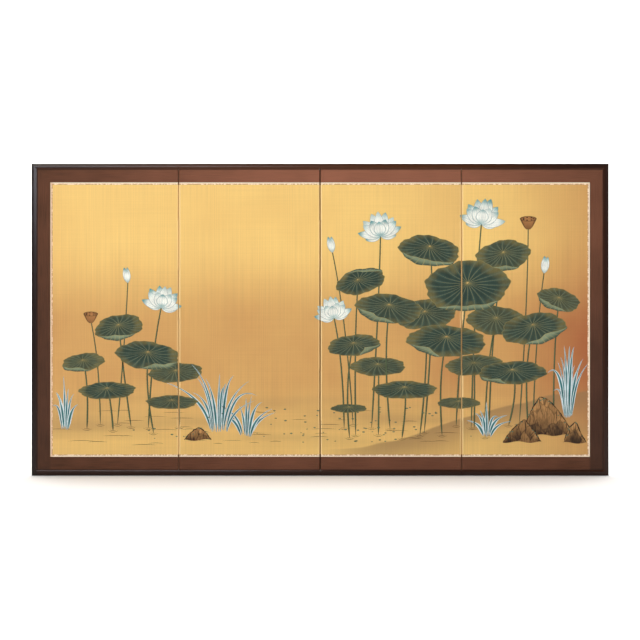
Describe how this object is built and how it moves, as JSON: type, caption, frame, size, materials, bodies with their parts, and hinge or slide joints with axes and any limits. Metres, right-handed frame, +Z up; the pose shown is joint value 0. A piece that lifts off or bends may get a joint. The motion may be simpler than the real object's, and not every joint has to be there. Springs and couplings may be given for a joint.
{
  "type": "byobu folding screen",
  "caption": "Low folding screen of equal panels with a lacquered moulding, a brown cloth border and a painted silk face, joined edge to edge by cloth and paper hinges.",
  "frame": {"origin": "on the floor under the middle of the flat screen, midway through its depth", "axes": "+X along the flat screen to the viewer's right, +Y away from the viewer, so the painted face looks along -Y, +Z up"},
  "size_m": [1.681, 0.02, 0.909],
  "materials": {
    "urushi_lacquer": "satin",
    "cedar": "matte",
    "under_paper": "matte",
    "painted_silk": "satin",
    "brocade_fillet": "satin",
    "border_cloth": "satin",
    "back_paper": "matte",
    "iron_nails": "matte",
    "hinge_straps": "matte"
  },
  "bodies": {
    "panel_1": {"panel_1_back_cover": "back_paper", "panel_1_back_paper": "under_paper", "panel_1_border": "border_cloth", "panel_1_bottom_rail": "urushi_lacquer", "panel_1_core_rails": "cedar", "panel_1_core_stiles": "cedar", "panel_1_fillet": "brocade_fillet", "panel_1_front_paper": "under_paper", "panel_1_lattice": "cedar", "panel_1_nails": "iron_nails", "panel_1_side_stile": "urushi_lacquer", "panel_1_silk": "painted_silk", "panel_1_top_rail": "urushi_lacquer"},
    "panel_2": {"panel_2_back_cover": "back_paper", "panel_2_back_paper": "under_paper", "panel_2_border": "border_cloth", "panel_2_bottom_rail": "urushi_lacquer", "panel_2_core_rails": "cedar", "panel_2_core_stiles": "cedar", "panel_2_fillet": "brocade_fillet", "panel_2_front_paper": "under_paper", "panel_2_lattice": "cedar", "panel_2_nails": "iron_nails", "panel_2_silk": "painted_silk", "panel_2_top_rail": "urushi_lacquer", "left_hinge_straps_from_left": "hinge_straps", "left_hinge_straps_from_right": "hinge_straps", "middle_hinge_straps_from_left": "hinge_straps", "middle_hinge_straps_from_right": "hinge_straps"},
    "panel_3": {"panel_3_back_cover": "back_paper", "panel_3_back_paper": "under_paper", "panel_3_border": "border_cloth", "panel_3_bottom_rail": "urushi_lacquer", "panel_3_core_rails": "cedar", "panel_3_core_stiles": "cedar", "panel_3_fillet": "brocade_fillet", "panel_3_front_paper": "under_paper", "panel_3_lattice": "cedar", "panel_3_nails": "iron_nails", "panel_3_silk": "painted_silk", "panel_3_top_rail": "urushi_lacquer", "right_hinge_straps_from_left": "hinge_straps", "right_hinge_straps_from_right": "hinge_straps"},
    "panel_4": {"panel_4_back_cover": "back_paper", "panel_4_back_paper": "under_paper", "panel_4_border": "border_cloth", "panel_4_bottom_rail": "urushi_lacquer", "panel_4_core_rails": "cedar", "panel_4_core_stiles": "cedar", "panel_4_fillet": "brocade_fillet", "panel_4_front_paper": "under_paper", "panel_4_lattice": "cedar", "panel_4_nails": "iron_nails", "panel_4_side_stile": "urushi_lacquer", "panel_4_silk": "painted_silk", "panel_4_top_rail": "urushi_lacquer"}
  },
  "joints": [
    {"name": "left_fold", "type": "hinge", "parent": "panel_2", "child": "panel_1", "pos_m": [-0.412, -0.01025, 0], "axis": [0, 0, 1], "range_deg": [0, 180], "deforming": ["left_hinge_straps_from_left", "left_hinge_straps_from_right"]},
    {"name": "middle_fold", "type": "hinge", "parent": "panel_2", "child": "panel_3", "pos_m": [0, 0.01025, 0], "axis": [0, 0, 1], "range_deg": [0, 180], "deforming": ["middle_hinge_straps_from_left", "middle_hinge_straps_from_right"]},
    {"name": "right_fold", "type": "hinge", "parent": "panel_3", "child": "panel_4", "pos_m": [0.412, -0.01025, 0], "axis": [0, 0, -1], "range_deg": [0, 180], "deforming": ["right_hinge_straps_from_left", "right_hinge_straps_from_right"]}
  ],
  "couplings": [
    {"joint": "left_fold", "follows": "middle_fold", "ratio": 1}
  ]
}
